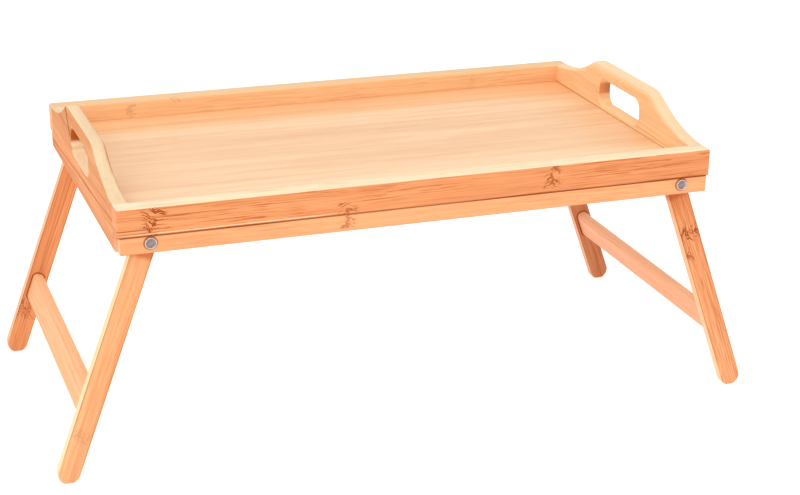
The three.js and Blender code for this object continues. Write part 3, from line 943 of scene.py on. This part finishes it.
def end_outline():
    """The end board's outline as [y, z], anticlockwise."""
    lowered = HANDLE_RISE - SHOULDER_RADIUS
    between = SWEEP_RADIUS + SHOULDER_RADIUS
    level_half = SWEEP_START - math.sqrt(between ** 2 - (SWEEP_RADIUS - lowered) ** 2)
    sweep_z = RIM_Z + SWEEP_RADIUS
    shoulder_z = RIM_Z + lowered
    meeting = math.atan2(sweep_z - shoulder_z, SWEEP_START - level_half)
    quarter = math.pi / 2
    foot = quarter + math.asin((SWEEP_START - RAIL_INNER_Y) / SWEEP_RADIUS)
    points = [
        (-STRIP_INNER_Y, RAIL_BOTTOM_Z),
        (-STRIP_INNER_Y, STRIP_BOTTOM_Z),
        (STRIP_INNER_Y, STRIP_BOTTOM_Z),
        (STRIP_INNER_Y, RAIL_BOTTOM_Z),
        (RAIL_INNER_Y, RAIL_BOTTOM_Z),
    ]
    right_sweep, left_sweep = (SWEEP_START, sweep_z), (-SWEEP_START, sweep_z)
    right_top, left_top = (level_half, shoulder_z), (-level_half, shoulder_z)
    points += arc(right_sweep, SWEEP_RADIUS, -foot, meeting - math.pi, SWEEP_STEPS)
    points += arc(right_top, SHOULDER_RADIUS, meeting, quarter, SHOULDER_STEPS)
    points += arc(left_top, SHOULDER_RADIUS, quarter, math.pi - meeting, SHOULDER_STEPS)
    points += arc(left_sweep, SWEEP_RADIUS, -meeting, foot - math.pi, SWEEP_STEPS)
    points.append((-RAIL_INNER_Y, RAIL_BOTTOM_Z))
    return without_repeats(points)


def slot_outline():
    """The slot's outline as [y, z], clockwise."""
    u, v = SLOT_LENGTH / 2, SLOT_HEIGHT / 2
    corners = [(-u, RIM_Z - v), (u, RIM_Z - v), (u, RIM_Z + v), (-u, RIM_Z + v)]
    points = rounded(corners, [SLOT_CORNER_RADIUS] * 4, 2 * ROUND_STEPS)
    return without_repeats(points)[::-1]


def board_radius(middle, level):
    """How far each edge of an end board is rounded."""
    y, z = abs(middle.x), middle.y
    if y < SLOT_LENGTH / 2 + 1 and abs(z - RIM_Z) < SLOT_HEIGHT / 2 + 1:
        return SLOT_RADIUS if level < HALF_LENGTH else OUTER_RADIUS
    if z > RIM_Z - 0.5:
        rise = max(0.0, min(1.0, (z - RIM_Z) / HUMP_RISE))
        top = HUMP_RADIUS if level < HALF_LENGTH else OUTER_RADIUS
        return RIM_RADIUS + (top - RIM_RADIUS) * rise
    if z < STRIP_BOTTOM_Z + 0.1:
        return LOWER_RADIUS
    return BUTT_RADIUS


def end_board(name, side, wood):
    verts, faces = prism([end_outline(), slot_outline()], board_radius, END_INNER_X, HALF_LENGTH)
    skin = [(side * w, u, v) for u, v, w in verts], faces
    middle = (side * (END_INNER_X + HALF_LENGTH) / 2, 0, RIM_Z)
    piece(name + "_panel", skin, [name], "tray", [wood], middle)


def floor_panel():
    """The floor, with a hair-fine groove at each glue line between its strips."""
    half_width, depth = 0.25, 0.12
    top = []
    for k in range(FLOOR_STRIPS + 1):
        y = -FLOOR_HI.y + k * FLOOR_STRIP
        if 0 < k < FLOOR_STRIPS:
            top.append((y - half_width, FLOOR_TOP_Z))
            top.append((y, FLOOR_TOP_Z - depth))
            top.append((y + half_width, FLOOR_TOP_Z))
        else:
            top.append((y, FLOOR_TOP_Z))
    section = [(-FLOOR_HI.y, FLOOR_LO.z), (FLOOR_HI.y, FLOOR_LO.z)] + top[::-1]
    rings = [[(x, y, z) for y, z in section] for x in (-FLOOR_HI.x, FLOOR_HI.x)]
    piece("floor_strips", loft(rings), ["floor_panel"], "tray", [floor_wood])


# ------------------------------------------------------------- the legs


def leg_outline():
    """The leg as [x, z] with its pivot at the origin and its outer side towards -x."""
    quarter = math.pi / 2
    foot_half = math.asin(FOOT_FLAT / 2 / LEG_RADIUS)
    reach = (PIVOT_Z - LEG_RADIUS * math.cos(foot_half)) / math.cos(LEG_TILT)
    level = quarter + LEG_TILT
    cut_half = (LEG_RADIUS - LEG_RADIUS * math.sin(LEG_TILT)) / math.cos(LEG_TILT)
    cut_end = LEG_RADIUS * math.cos(LEG_TILT) - cut_half * math.sin(LEG_TILT)
    ground = level + math.pi
    points = arc((0, 0), LEG_RADIUS, 0, level, LEG_TOP_STEPS)
    points.append((-LEG_RADIUS, cut_end))
    points += arc((0, -reach), LEG_RADIUS, math.pi, ground - foot_half, FOOT_STEPS)
    points += arc((0, -reach), LEG_RADIUS, ground + foot_half, 2 * math.pi, FOOT_STEPS)
    return without_repeats(points)


def in_frame(side, u, v):
    """A leg frame's own [x, z], tilted and put on its pivot, as row-frame x and z."""
    x = u * math.cos(LEG_TILT) + v * math.sin(LEG_TILT)
    z = -u * math.sin(LEG_TILT) + v * math.cos(LEG_TILT)
    return side * (PIVOT_X - x), PIVOT_Z + z


def leg(across, along, side_x, side_y):
    """One leg, with its origin on its pivot."""
    lo, hi = sorted((side_y * LEG_INNER_Y, side_y * LEG_OUTER_Y))
    verts, faces = prism([leg_outline()], lambda middle, level: LEG_EDGE_RADIUS, lo, hi)
    skin = []
    for u, v, w in verts:
        x, z = in_frame(side_x, u, v)
        skin.append((x, w, z))
    origin = (side_x * PIVOT_X, side_y * (LEG_INNER_Y + LEG_OUTER_Y) / 2, PIVOT_Z)
    node = f"{across}_{along}_leg"
    wood = leg_woods[f"{across}_{along}"]
    piece(node + "_bar", (skin, faces), [node], f"{across}_leg_frame", [wood], origin)


def stretcher(across, side_x):
    u, v = STRETCHER_THICKNESS / 2, STRETCHER_WIDTH / 2
    corners = [(-u, -v), (u, -v), (u, v), (-u, v)]
    section = rounded(corners, [STRETCHER_EDGE_RADIUS] * 4, 8)
    rings = []
    for y in (-LEG_INNER_Y, LEG_INNER_Y):
        ring = []
        for p in section:
            x, z = in_frame(side_x, p.x, p.y - STRETCHER_FROM_PIVOT)
            ring.append((x, y, z))
        rings.append(ring)
    x, z = in_frame(side_x, 0, -STRETCHER_FROM_PIVOT)
    node = f"{across}_stretcher"
    piece(node + "_bar", loft(rings), [node], f"{across}_leg_frame",
          [stretcher_woods[side_x]], (x, 0, z))


# ------------------------------------------------------------ the rivets


def rivet_profile():
    """The rivet as [radius, |y|], from its spread tail to its dished head."""
    end, top = STEM_LO.y, TAIL_LO.y
    face, crest = STRIP_OUTER_Y, STEM_HI.y
    ring = (RIVET_HEAD_RADIUS + RIVET_DISH_RADIUS) / 2
    dish = crest - DISH_DEPTH
    tail = [(0, end), (RIVET_RADIUS * 0.7, end + 0.05), (RIVET_RADIUS, end), (3.3, end + 0.18),
            (3.75, end + 0.5), (RIVET_TAIL_RADIUS, end + 0.9), (RIVET_TAIL_RADIUS, top)]
    stem = [(RIVET_RADIUS, top), (RIVET_RADIUS, face)]
    rim = [(RIVET_HEAD_RADIUS - 0.1, face), (RIVET_HEAD_RADIUS, face + 0.15),
           (RIVET_HEAD_RADIUS - 0.05, face + 0.75), (RIVET_HEAD_RADIUS - 0.3, crest - 0.28),
           (ring + 0.3, crest - 0.03), (ring, crest), (ring - 0.35, crest - 0.05)]
    hollow = [(RIVET_DISH_RADIUS + 0.25, crest - 0.3), (RIVET_DISH_RADIUS, dish - 0.05),
              (RIVET_DISH_RADIUS - 0.25, dish - 0.12), (RIVET_DISH_RADIUS - 0.7, dish),
              (1.2, dish + 0.1), (0, dish + 0.14)]
    return tail + stem + rim + hollow


def washer_profile(lo, hi):
    """A washer's section as [radius, |y|], rounded more on its outside."""
    bore = RIVET_RADIUS + WASHER_PLAY
    corners = [(bore, lo), (WASHER_RADIUS, lo), (WASHER_RADIUS, hi), (bore, hi)]
    return [(p.x, p.y) for p in rounded(corners, [0.05, 0.22, 0.22, 0.05], 3)]


def pivot_hardware(across, along, side_x, side_y):
    """A rivet with its two washers, at one corner of the tray."""
    def placed(skin):
        verts, faces = skin
        moved = [(side_x * PIVOT_X + x, side_y * y, PIVOT_Z + z) for x, y, z in verts]
        return moved, faces

    corner = f"{across}_{along}"
    dish_edge = RIVET_DISH_RADIUS + 0.12

    def dull(centre):
        off = math.hypot(centre.x - side_x * PIVOT_X, centre.z - PIVOT_Z)
        return 1 if off < dish_edge and abs(centre.y) > STRIP_OUTER_Y else 0

    origin = (side_x * PIVOT_X, side_y * STRIP_OUTER_Y, PIVOT_Z)
    piece(f"{corner}_rivet_turned", placed(lathe(rivet_profile())), [f"{corner}_rivet"], "tray",
          [bright_steel, dull_steel], origin, dull)
    for kind, lo, hi in (("spacer", SPACER_LO.y, SPACER_HI.y), ("tail", TAIL_LO.y, TAIL_HI.y)):
        node = f"{corner}_{kind}_washer"
        skin = placed(ring_lathe(washer_profile(lo, hi)))
        piece(node + "_ring", skin, [node], "tray", [bright_steel], origin)


# ------------------------------------------------------------- assembly

long_rail("front_rail", -1, front_rail_wood)
long_rail("rear_rail", 1, rear_rail_wood)
leg_strip("front_leg_strip", -1, front_strip_wood)
leg_strip("rear_leg_strip", 1, rear_strip_wood)
end_board("left_end_board", -1, left_board_wood)
end_board("right_end_board", 1, right_board_wood)
floor_panel()
for across, side_x in (("left", -1), ("right", 1)):
    stretcher(across, side_x)
    for along, side_y in (("front", -1), ("rear", 1)):
        leg(across, along, side_x, side_y)
        pivot_hardware(across, along, side_x, side_y)

for node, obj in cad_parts.items():
    if node.endswith("_dowel") or node.endswith("_screw"):
        obj.data.materials.clear()
        obj.data.materials.append(dowel_wood if node.endswith("_dowel") else screw_steel)


# ------------------------------------------------------- light and camera

WORLD_STRENGTH = 0.93
SOFTBOX_PLACE = (-1.7, -1.9, 2.6)
SOFTBOX_AIM = (0, 0, 0.15)
SOFTBOX_SIZE = 3.0
SOFTBOX_POWER = 32
GROUND_REACH = 6.0
GROUND_GREYS = (0.70, 0.74)
GROUND_GLOW = 0.55
WHITE = (1.0, 1.0, 1.0, 1.0)

world = bpy.data.worlds.new("studio")
bpy.context.scene.world = world
world.use_nodes = True
world.node_tree.nodes["Background"].inputs["Color"].default_value = WHITE
world.node_tree.nodes["Background"].inputs["Strength"].default_value = WORLD_STRENGTH


def area_light(name, place, aim, size, power):
    data = bpy.data.lights.new(name, "AREA")
    data.shape = "DISK"
    data.size = size
    data.energy = power
    light = bpy.data.objects.new(name, data)
    bpy.context.scene.collection.objects.link(light)
    light.location = place
    light.rotation_mode = "QUATERNION"
    light.rotation_quaternion = (Vector(aim) - Vector(place)).to_track_quat("-Z", "Y")


area_light("softbox", SOFTBOX_PLACE, SOFTBOX_AIM, SOFTBOX_SIZE, SOFTBOX_POWER)

ground = bpy.data.meshes.new("floor")
ground_corners = [(x * GROUND_REACH, y * GROUND_REACH, 0)
                  for x, y in ((-1, -1), (1, -1), (1, 1), (-1, 1))]
ground.from_pydata(ground_corners, [], [(0, 1, 2, 3)])
ground_object = bpy.data.objects.new("studio_floor", ground)
bpy.context.scene.collection.objects.link(ground_object)
pale = Shader("pale_floor")
speck = pale.noise(pale.scaled(pale.coords.outputs["Object"], (30, 30, 30)), detail=3.0)
greys = [(grey, grey, grey, 1.0) for grey in GROUND_GREYS]
pale.feed(pale.surface.inputs["Base Color"], pale.mix(speck, *greys))
pale.surface.inputs["Roughness"].default_value = 0.9
pale.surface.inputs["Emission Color"].default_value = WHITE
pale.surface.inputs["Emission Strength"].default_value = GROUND_GLOW
ground.materials.append(pale.material)

CAMERA_PLACE = Vector((-0.48262, -1.40853, 0.68144))
CAMERA_FORWARD = Vector((0.31973, 0.87817, -0.35580))
CAMERA_UP = Vector((0.10944, 0.33877, 0.93448))
CAMERA_LENS = 81.13
SENSOR_WIDTH = 36.0

lens = bpy.data.cameras.new("camera")
lens.sensor_width = SENSOR_WIDTH
lens.lens = CAMERA_LENS
camera = bpy.data.objects.new("camera", lens)
bpy.context.scene.collection.objects.link(camera)
right = CAMERA_FORWARD.cross(CAMERA_UP).normalized()
up = right.cross(CAMERA_FORWARD).normalized()
turn = Matrix((right, up, -CAMERA_FORWARD.normalized())).transposed()
camera.matrix_world = Matrix.Translation(CAMERA_PLACE) @ turn.to_4x4()
bpy.context.scene.camera = camera
bpy.context.scene.view_settings.view_transform = "Standard"
